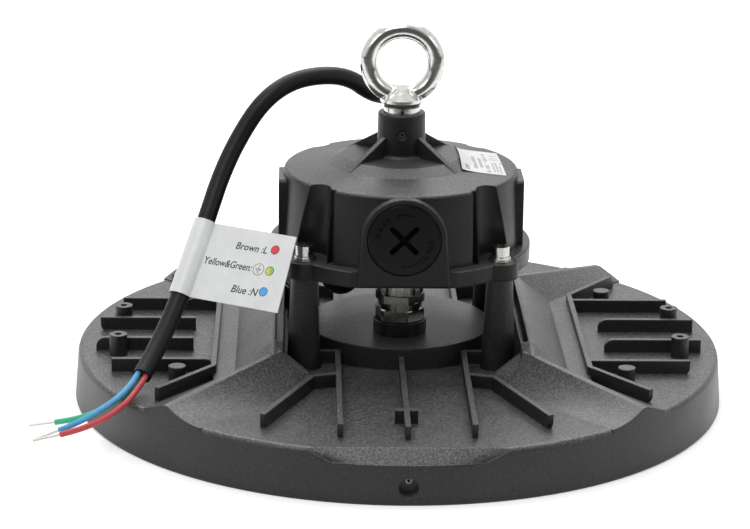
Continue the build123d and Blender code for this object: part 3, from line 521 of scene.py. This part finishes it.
def marks_mesh(name, marks):
    """Turns a bmesh of marks into a mesh with welded seams and faces that look outwards."""
    bmesh.ops.remove_doubles(marks, verts=marks.verts, dist=WELD)
    bmesh.ops.recalc_face_normals(marks, faces=marks.faces)
    mesh = bpy.data.meshes.new(name)
    marks.to_mesh(mesh)
    marks.free()
    return mesh


# Where things lie. Numbers are in millimetres and degrees, except where a comment says metres.

# The routes of the cords, from where they leave the object to their bare ends
CABLE_ROUTE = (
    (-29.0, 32.0, 58.6), (-29.0, 74.0, 58.6), (-14.0, 106.0, 74.0), (7.0, 108.0, 110.0), (3.0, 76.0, 134.0),
    (-11.0, 45.0, 138.0), (-29.0, 29.0, 155.0), (-62.0, 10.0, 153.0), (-84.0, -4.0, 122.0), (-97.0, -29.0, 86.0),
    (-112.0, -54.0, 47.0), (-123.0, -79.0, 33.0),
)
CORE_ROUTES = {
    "core_blue": (
        (-124.604, -79.134, 34.5), (-127.472, -85.653, 30.85), (-133.8, -94.0, 26.6), (-149.2, -100.0, 18.0),
        (-160.5, -99.0, 13.0),
    ),
    "core_red": (
        (-121.087, -80.032, 33.34), (-123.955, -86.551, 29.69), (-131.0, -98.0, 24.0), (-147.0, -103.0, 15.5),
        (-159.7, -103.0, 12.4),
    ),
    "core_green": (
        (-123.309, -77.834, 31.16), (-126.177, -84.353, 27.51), (-135.0, -88.5, 24.2), (-148.0, -91.0, 16.2),
        (-163.2, -88.0, 13.0),
    ),
}

# The label's flag: its directions along the cable, outwards and to the front, its lower corner on the cable, and
# how far its front face stands before that, the last two in metres
FLAG_UP = Vector((0.30805, 0.51342, 0.80094))
FLAG_OUT = Vector((0.85075, -0.52548, 0.00963))
FLAG_FRONT = Vector((-0.42582, -0.67843, 0.59867))
FLAG_CORNER = Vector((-112.0, -54.0, 47.0)) * MM + FLAG_UP * 18.5 * MM
FLAG_FACE = 0.3 * MM

# What is printed on the flag: words with their left, bottom, right and top, and dots with their fills
FLAG_SLANT = 0.12
FLAG_WORDS = (
    ("Brown :L", 21.2, 27.7, 38.6, 31.3), ("Yellow&Green:", 6.2, 17.8, 33.2, 21.5), ("Blue :N", 26.6, 6.1, 40.6, 9.9),
)
INK, RED, YELLOW, GREEN, BLUE = range(5)
DOT_RADIUS, DOT_RING = 2.0, (2.02, 2.3)
FLAG_DOTS = (
    ((42.6, 30.4), ((RED, 0.0, WHOLE_TURN),)),
    ((43.5, 19.6), ((GREEN, -80.0, 100.0), (YELLOW, 100.0, 280.0))),
    ((43.9, 9.0), ((BLUE, 0.0, WHOLE_TURN),)),
)
# The earth mark in its ring: one upright line and three level ones, each shorter than the one above
EARTH_MARK = (37.3, 19.5)
EARTH_RING = (2.75, 3.0)
EARTH_LINES = (
    (-0.14, 0.3, 0.14, 2.2), (-1.7, -0.02, 1.7, 0.28), (-1.1, -0.82, 1.1, -0.52), (-0.5, -1.62, 0.5, -1.32),
)

# The port plug: the height of its axis, the circle that its marks stand on, its words with the turns of their
# first and last letters, and its arrows with the turns of their ends
PLUG_HEIGHT = 94.2
PLUG_MARKS_RADIUS = 12.7
PLUG_WORDS = (("OPEN", 127.0, 169.0), ("CLOSE", -49.0, -2.0))
PLUG_ARROWS = ((69.0, 101.0), (-57.0, -89.0))
LETTER_HALF_WIDTH, LETTER_HALF_HEIGHT = 0.85, 1.2
ARROW_HALF_LINE, ARROW_HALF_HEAD, ARROW_HEAD_TURN = 0.2, 0.9, 6.0

# The sticker: its corner on the crown of the driver housing, its size, its turn in degrees, how far one side has
# come loose, its grey fields, a height in metres from which rays down find the crown, and how far the film stands
# off the crown and its print sinks into it
STICKER_CORNER = (28.9, -19.5)
STICKER_SIZE = (21.5, 42.0)
STICKER_TURN = 3.0
STICKER_LIFT = 1.3
STICKER_FIELDS = (
    (2.0, 2.5, 4.2, 7.5), (2.0, 34.0, 4.0, 39.0), (6.6, 6.0, 8.6, 27.0), (9.8, 8.5, 11.4, 25.5),
    (12.6, 2.0, 14.6, 5.0), (12.6, 7.5, 14.6, 13.5), (12.6, 16.0, 13.4, 19.0), (12.6, 21.0, 14.6, 25.0),
    (12.6, 26.5, 14.2, 29.0), (12.6, 31.5, 14.2, 35.0), (16.0, 3.0, 16.9, 18.0), (17.6, 3.0, 18.5, 20.0),
    (19.2, 2.5, 20.0, 14.0), (16.0, 24.5, 20.2, 25.2), (16.0, 27.5, 20.2, 28.2), (16.0, 32.5, 20.4, 33.3),
    (20.2, 17.5, 21.0, 20.5),
)
ABOVE_CROWN = 0.2
STICKER_GLUE = 0.02
SUNK = 0.03

# The camera, solved from the rim's ellipse in the photograph: its place in metres, and its right and up
CAMERA_PLACE = (-0.0492, -1.3415, 0.4723)
CAMERA_RIGHT = Vector((0.999635, -0.023805, 0.012777))
CAMERA_UP = Vector((-0.005293, 0.291185, 0.956652))
CAMERA_LENS = 136.38

# The studio. The lamps have a place and a side in metres and a power in watts, and look at the middle of the light
STUDIO_WHITE = "f2f2f2"
FLOOR_GLOW = 0.35
ROOM_GLOW = 0.32
DIM_SIDE = 0.12
LAMPS = (
    ("overhead_behind", (0.0, 0.9, 1.5), 1.6, 30.0),
    ("overhead_front", (-0.3, -0.9, 1.7), 1.0, 12.0),
    ("left_front", (-1.4, -1.2, 1.1), 0.8, 4.5),
    ("right_front", (1.5, -0.9, 0.9), 0.6, 2.0),
)
LAMP_TARGET = Vector((0.0, 0.0, 0.06))


# Operators


class HIGHBAY_OT_camera(bpy.types.Operator):
    """Places the camera at the photograph's viewing angle."""

    bl_idname = "highbay.camera"
    bl_label = "Camera"

    def execute(self, context):
        lens = bpy.data.cameras.new("camera")
        lens.sensor_width = 36.0
        lens.lens = CAMERA_LENS
        lens.clip_end = 60.0
        camera = bpy.data.objects.new("camera", lens)
        back = CAMERA_RIGHT.cross(CAMERA_UP)
        turned = Matrix((CAMERA_RIGHT, CAMERA_UP, back)).transposed().to_4x4()
        camera.matrix_world = Matrix.Translation(CAMERA_PLACE) @ turned
        context.scene.collection.objects.link(camera)
        context.scene.camera = camera
        return {"FINISHED"}


class HIGHBAY_OT_cable(bpy.types.Operator):
    """Makes the mains cable and its three cores, and finishes their bare strands."""

    bl_idname = "highbay.cable"
    bl_label = "Cable and cores"

    def execute(self, context):
        colours, sizes = settings()
        rubber = moulded_plastic("rubber_sheath", colours.sheath, 0.42, 1.6, relief=0.4, gloss_level=0.2)
        curve = spline_tube("mains_cable", CABLE_ROUTE, sizes.cable, 12)
        cable = add_piece("mains_cable", curve, [rubber], FIXTURE)
        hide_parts("power_cable")
        spline_length(curve)
        for name, insulation in (
            ("core_blue", moulded_plastic("blue_pvc", colours.blue_core, 0.35, 2.0)),
            ("core_red", moulded_plastic("brown_red_pvc", colours.brown_core, 0.35, 2.0)),
            ("core_green", striped_insulation("green_and_yellow_pvc", colours.green_core, colours.yellow_stripe)),
        ):
            curve = spline_tube(name + "_wire", CORE_ROUTES[name], sizes.core, 8)
            core = add_piece(name + "_wire", curve, [insulation], FIXTURE)
            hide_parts(name)
            spline_length(curve)
        dress(["core_strands"], bright_metal("tinned_copper", "d0ccc6", 0.3, 0.8, 0.6, 0.02, 0.2))
        return {"FINISHED"}


class HIGHBAY_OT_castings(bpy.types.Operator):
    """Finishes the heat sink and the driver housing."""

    bl_idname = "highbay.castings"
    bl_label = "Castings"

    def execute(self, context):
        black = context.scene.high_bay_colours.casting
        # The grain of both castings is painted paler on the faces that look up, as a painted highlight of the light
        # from above
        sandy = powder_coated_casting(
            "powder_coat_on_sandy_casting", black, grit_and_top_light=0.14, grain_mm=1.0, relief=0.6, wall=0.13,
        )
        smooth = powder_coated_casting(
            "powder_coat_on_smooth_casting", black, grit_and_top_light=0.11, grain_mm=0.8, relief=0.3, wall=0.05, gloss_level=0.28,
        )
        dress(["heat_sink"], sandy)
        dress(["driver_housing"], smooth)
        return {"FINISHED"}


class HIGHBAY_OT_fasteners(bpy.types.Operator):
    """Finishes the screws, the washers, the eye bolt and the metal of the cable link."""

    bl_idname = "highbay.fasteners"
    bl_label = "Fasteners"

    def execute(self, context):
        screws = ["board_screws", "cover_screws", "lens_screws"]
        for corner in CORNERS:
            screws += ["flat_washer_" + corner, "spring_washer_" + corner, "post_screw_" + corner]
        for names, finish in (
            (screws, bright_metal("plain_stainless", "c2c1be", 0.2, 0.9, 0.8, 0.005, 0.1)),
            (
                ["eye_bolt", "eye_bolt_washer"],
                bright_metal("bright_zinc_on_forging", "d3d3d0", 0.14, 0.85, 2.2, 0.14, 0.4),
            ),
            (["rim_screw", "grub_screw"], bright_metal("black_oxide_steel", "6a6b6d", 0.3, 0.7, 0.8, 0.03, 0.2)),
            (
                ["link_gland", "link_nut", "link_sleeve"],
                bright_metal("nickel_on_brass", "cfcdc8", 0.13, 0.9, 1.0, 0.004, 0.1, stretch=3.0),
            ),
        ):
            dress(names, finish)
        return {"FINISHED"}


class HIGHBAY_OT_plastics(bpy.types.Operator):
    """Finishes the port plug, the plastic glands and the seals."""

    bl_idname = "highbay.plastics"
    bl_label = "Plastics and seals"

    def execute(self, context):
        dress(["port_plug"], nylon_with_painted_slot_shade("glossy_nylon", "101112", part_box("port_plug")[0].y))
        dress(["link_ring", "elbow_gland", "elbow_nut"], moulded_plastic("satin_nylon", "161718", 0.36, 1.5))
        dress(["port_seal", "lens_seal", "housing_seal"], moulded_plastic("silicone_rubber", "141414", 0.7, 2.0))
        return {"FINISHED"}


class HIGHBAY_OT_plug_marks(bpy.types.Operator):
    """Moulds the two words and the turning arrows on the face of the port plug."""

    bl_idname = "highbay.plug_marks"
    bl_label = "Plug marks"

    def execute(self, context):
        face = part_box("port_plug")[0].y
        foot, top = -0.1 * MM, context.scene.high_bay_sizes.relief

        def place(u, v, h):
            return Vector((u * MM, face - h, (PLUG_HEIGHT + v) * MM))

        marks = bmesh.new()
        # The letters stand with their heads to the centre
        for word, first, last in PLUG_WORDS:
            for k, letter in enumerate(word):
                turn = radians(first + (last - first) * k / (len(word) - 1))
                out = Vector((cos(turn), sin(turn)))
                along = Vector((-sin(turn), cos(turn)))

                def on_circle(u, v, h, out=out, along=along):
                    spot = out * (PLUG_MARKS_RADIUS - v) + along * u
                    return place(spot.x, spot.y, h)

                lettering(
                    marks, on_circle, letter, -LETTER_HALF_WIDTH, -LETTER_HALF_HEIGHT, LETTER_HALF_WIDTH,
                    LETTER_HALF_HEIGHT, 0.0, foot, top, 0,
                )
        for start, end in PLUG_ARROWS:
            band(
                marks, place, (0.0, 0.0), PLUG_MARKS_RADIUS - ARROW_HALF_LINE, PLUG_MARKS_RADIUS + ARROW_HALF_LINE,
                start, end, foot, top, 0,
            )
            tip = radians(end + (ARROW_HEAD_TURN if end > start else -ARROW_HEAD_TURN))
            root = radians(end)
            head = [(PLUG_MARKS_RADIUS * cos(tip), PLUG_MARKS_RADIUS * sin(tip))]
            for radius in (PLUG_MARKS_RADIUS - ARROW_HALF_HEAD, PLUG_MARKS_RADIUS + ARROW_HALF_HEAD):
                head.append((radius * cos(root), radius * sin(root)))
            prism(marks, place, head, foot, top, 0)
        # The raised marks are painted darker than the plug's own nylon, as painted shade along the letters and arrows
        nylon = moulded_plastic("glossy_nylon_marks", "030303", 0.22, 3.0, gloss_level=0.1)
        add_piece("plug_marks", marks_mesh("plug_marks", marks), [nylon], PLUG)
        return {"FINISHED"}


class HIGHBAY_OT_wire_label(bpy.types.Operator):
    """Finishes the folded label on the cable and prints the colours of the cores on its flag."""

    bl_idname = "highbay.wire_label"
    bl_label = "Wire label"

    def execute(self, context):
        colours, sizes = settings()
        dress(["wire_label"], printed_film("polyester_film", colours.label, 0.3))
        foot, top = -0.05 * MM, sizes.ink

        def place(u, v, h):
            return FLAG_CORNER + FLAG_UP * v * MM + FLAG_OUT * u * MM + FLAG_FRONT * (FLAG_FACE + h)

        marks = bmesh.new()
        for words, left, bottom, right, high in FLAG_WORDS:
            lettering(marks, place, words, left, bottom, right, high, FLAG_SLANT, foot, top, INK)
        for centre, fills in FLAG_DOTS:
            for fill, start, end in fills:
                outline = arc(centre, DOT_RADIUS, start, end, 36)
                if end - start >= WHOLE_TURN:
                    outline.pop()
                prism(marks, place, outline, foot, top, fill)
            band(marks, place, centre, *DOT_RING, 0.0, WHOLE_TURN, foot, top, INK)
        across, along = EARTH_MARK
        band(marks, place, EARTH_MARK, *EARTH_RING, 0.0, WHOLE_TURN, foot, top, INK)
        for left, bottom, right, high in EARTH_LINES:
            film(
                marks, place, across + left, along + bottom, across + right, along + high, foot, top, INK, step=4.0,
            )
        inks = [
            printed_film("black_ink", colours.ink, 0.4), printed_film("red_ink", colours.red_ink, 0.4),
            printed_film("yellow_ink", colours.yellow_ink, 0.4), printed_film("green_ink", colours.green_ink, 0.4),
            printed_film("blue_ink", colours.blue_ink, 0.4),
        ]
        add_piece("label_print", marks_mesh("label_print", marks), inks, FIXTURE)
        return {"FINISHED"}


class HIGHBAY_OT_sticker(bpy.types.Operator):
    """Lays the white sticker on the crown of the driver housing, with plain grey fields and one loose side."""

    bl_idname = "highbay.sticker"
    bl_label = "Crown sticker"

    def execute(self, context):
        colours, sizes = settings()
        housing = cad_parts["driver_housing"]
        turn = radians(STICKER_TURN)
        width, length = STICKER_SIZE

        def place(u, v, h):
            x = (STICKER_CORNER[0] + u * cos(turn) - v * sin(turn)) * MM
            y = (STICKER_CORNER[1] + u * sin(turn) + v * cos(turn)) * MM
            hit, point, *rest = housing.ray_cast(Vector((x, y, ABOVE_CROWN)), Vector((0.0, 0.0, -1.0)))
            if not hit:
                raise RuntimeError("the sticker leaves the crown")
            # Loose along its left side, and most in the middle of that side
            loose = max(0.0, 1.0 - u / width * 2.2) ** 2 * (1.0 - 0.35 * abs(2 * v / length - 1.0))
            return Vector((x, y, point.z + STICKER_LIFT * MM * loose + h))

        marks = bmesh.new()
        base = STICKER_GLUE * MM
        face = base + sizes.film
        film(marks, place, 0.0, 0.0, width, length, base, face, 0)
        for left, bottom, right, top in STICKER_FIELDS:
            film(marks, place, left, bottom, right, top, face - SUNK * MM, face + sizes.ink, 1)
        finishes = [
            printed_film("sticker_film", colours.sticker, 0.35), printed_film("grey_fields", colours.fields, 0.45),
        ]
        add_piece("crown_sticker", marks_mesh("crown_sticker", marks), finishes, FIXTURE)
        return {"FINISHED"}


class HIGHBAY_OT_light_unit(bpy.types.Operator):
    """Finishes the board, the lamps, the lens plate and what the housing holds."""

    bl_idname = "highbay.light_unit"
    bl_label = "Light unit"

    def execute(self, context):
        dress(["led_board"], moulded_plastic("white_solder_mask", "eef0ee", 0.35, 4.0))
        dress(["leds"], moulded_plastic("yellow_phosphor", "e8cf62", 0.3, 1.0))
        dress(["lens_plate"], clear_polycarbonate("clear_polycarbonate"))
        # The cover plate's grain is painted a little paler on the faces that look up, as a painted highlight of the
        # light from above
        dress(["housing_cover"], powder_coated_casting("coated_cover_plate", "161718", 0.03, 0.8, 0.2))
        dress(["driver_module"], bright_metal("mill_aluminium", "a8a9aa", 0.4, 0.85, 2.0, 0.05, 0.2))
        return {"FINISHED"}


def background_rays(tree):
    """1 for the rays that see the background: the camera's, and those that metal and glass send on."""
    path = node(tree, "ShaderNodeLightPath").outputs
    seen = node(tree, "ShaderNodeMath", path["Is Camera Ray"], path["Is Glossy Ray"], operation="MAXIMUM")
    return node(
        tree, "ShaderNodeMath", seen.outputs[0], path["Is Transmission Ray"], operation="MAXIMUM",
    ).outputs[0]


def white_studio_floor():
    """Matt white studio sheet: it keeps the object's soft shadow and runs out to plain white far away."""
    finish, tree, place = new_finish("white_studio_floor")
    white = linear(STUDIO_WHITE)
    plain = node(tree, "ShaderNodeBsdfDiffuse", Color=white)
    glow = node(tree, "ShaderNodeEmission", Color=grey(1.0), Strength=FLOOR_GLOW)
    lifted = node(tree, "ShaderNodeAddShader", plain.outputs[0], glow.outputs[0])
    # The floor runs into the studio's dim side in front, which only gloss and metal show
    depth = node(tree, "ShaderNodeSeparateXYZ", place).outputs["Y"]
    near = node(tree, "ShaderNodeMapRange", depth, -0.5, -0.26, DIM_SIDE, 1.0).outputs[0]
    shade = node(tree, "ShaderNodeValToRGB", near, stops=((0.0, grey(0.0)), (1.0, white)))
    shaded = node(tree, "ShaderNodeBsdfDiffuse", Color=shade.outputs[0])
    dimmed = node(tree, "ShaderNodeMath", near, FLOOR_GLOW, operation="MULTIPLY")
    dim_glow = node(tree, "ShaderNodeEmission", Color=grey(1.0), Strength=dimmed.outputs[0])
    mirrored = node(tree, "ShaderNodeAddShader", shaded.outputs[0], dim_glow.outputs[0])
    around = node(tree, "ShaderNodeMixShader", background_rays(tree), plain.outputs[0], mirrored.outputs[0])
    # The lamps leave the far floor dim, so the camera sees it run out to plain white
    distance = node(tree, "ShaderNodeVectorMath", place, operation="LENGTH").outputs["Value"]
    away = node(tree, "ShaderNodeMapRange", distance, 0.5, 1.4, 0.0, 1.0).outputs[0]
    far = node(tree, "ShaderNodeEmission", Color=grey(1.0), Strength=1.0)
    seen = node(tree, "ShaderNodeMixShader", away, lifted.outputs[0], far.outputs[0])
    camera_ray = node(tree, "ShaderNodeLightPath").outputs["Is Camera Ray"]
    pick = node(tree, "ShaderNodeMixShader", camera_ray, around.outputs[0], seen.outputs[0])
    node(tree, "ShaderNodeOutputMaterial", Surface=pick.outputs[0])
    return finish


def white_studio():
    """White surroundings with a dim side in front, as in a studio whose lamps stand behind the object.

    The dim side only shows in gloss and metal, which need it to look like metal.
    """
    world = bpy.data.worlds.new("studio")
    world.use_nodes = True
    tree = world.node_tree
    tree.nodes.clear()
    toward = node(tree, "ShaderNodeTexCoord").outputs["Generated"]
    depth = node(tree, "ShaderNodeSeparateXYZ", toward).outputs["Y"]
    brightness = node(tree, "ShaderNodeMapRange", depth, -0.85, -0.3, DIM_SIDE, 1.0).outputs[0]
    soft = node(tree, "ShaderNodeBackground", Color=grey(1.0), Strength=ROOM_GLOW)
    mirrored = node(tree, "ShaderNodeBackground", Color=grey(1.0), Strength=brightness)
    white = node(tree, "ShaderNodeBackground", Color=grey(1.0), Strength=1.0)
    around = node(tree, "ShaderNodeMixShader", background_rays(tree), soft.outputs[0], mirrored.outputs[0])
    camera_ray = node(tree, "ShaderNodeLightPath").outputs["Is Camera Ray"]
    pick = node(tree, "ShaderNodeMixShader", camera_ray, around.outputs[0], white.outputs[0])
    node(tree, "ShaderNodeOutputWorld", Surface=pick.outputs[0])
    return world


class HIGHBAY_OT_stage(bpy.types.Operator):
    """Makes the pale floor, the white surroundings and the soft lamps."""

    bl_idname = "highbay.stage"
    bl_label = "Stage"

    def execute(self, context):
        half = context.scene.high_bay_sizes.floor / 2
        corners = [(-half, -half, 0), (half, -half, 0), (half, half, 0), (-half, half, 0)]
        sheet = bpy.data.meshes.new("floor")
        sheet.from_pydata(corners, [], [(0, 1, 2, 3)])
        sheet.materials.append(white_studio_floor())
        floor = bpy.data.objects.new("floor", sheet)
        context.scene.collection.objects.link(floor)

        context.scene.world = white_studio()

        for name, stand, width, power in LAMPS:
            light = bpy.data.lights.new(name, "AREA")
            light.shape = "SQUARE"
            light.size = width
            light.energy = power
            lamp = bpy.data.objects.new(name, light)
            lamp.location = stand
            lamp.rotation_euler = (LAMP_TARGET - Vector(stand)).to_track_quat("-Z", "Y").to_euler()
            context.scene.collection.objects.link(lamp)

        context.scene.view_settings.view_transform = "Standard"
        return {"FINISHED"}


class HIGHBAY_PT_panel(bpy.types.Panel):
    """Lists the steps and settings in the 3D view's sidebar."""

    bl_label = "High bay light"
    bl_space_type = "VIEW_3D"
    bl_region_type = "UI"
    bl_category = "High bay"

    def draw(self, context):
        for step in STEPS:
            self.layout.operator(step.bl_idname)
        for group in settings():
            for name in group.bl_rna.properties.keys():
                if name not in ("rna_type", "name"):
                    self.layout.prop(group, name)


STEPS = (
    HIGHBAY_OT_camera, HIGHBAY_OT_cable, HIGHBAY_OT_castings, HIGHBAY_OT_fasteners, HIGHBAY_OT_plastics,
    HIGHBAY_OT_plug_marks, HIGHBAY_OT_wire_label, HIGHBAY_OT_sticker, HIGHBAY_OT_light_unit, HIGHBAY_OT_stage,
)
CLASSES = (HighBayColours, HighBaySizes) + STEPS + (HIGHBAY_PT_panel,)


def register():
    for kind in CLASSES:
        bpy.utils.register_class(kind)
    bpy.types.Scene.high_bay_colours = bpy.props.PointerProperty(type=HighBayColours)
    bpy.types.Scene.high_bay_sizes = bpy.props.PointerProperty(type=HighBaySizes)


def unregister():
    del bpy.types.Scene.high_bay_sizes
    del bpy.types.Scene.high_bay_colours
    for kind in reversed(CLASSES):
        bpy.utils.unregister_class(kind)


def main():
    register()
    for step in STEPS:
        group, name = step.bl_idname.split(".")
        getattr(getattr(bpy.ops, group), name)()


if __name__ == "__main__":
    main()
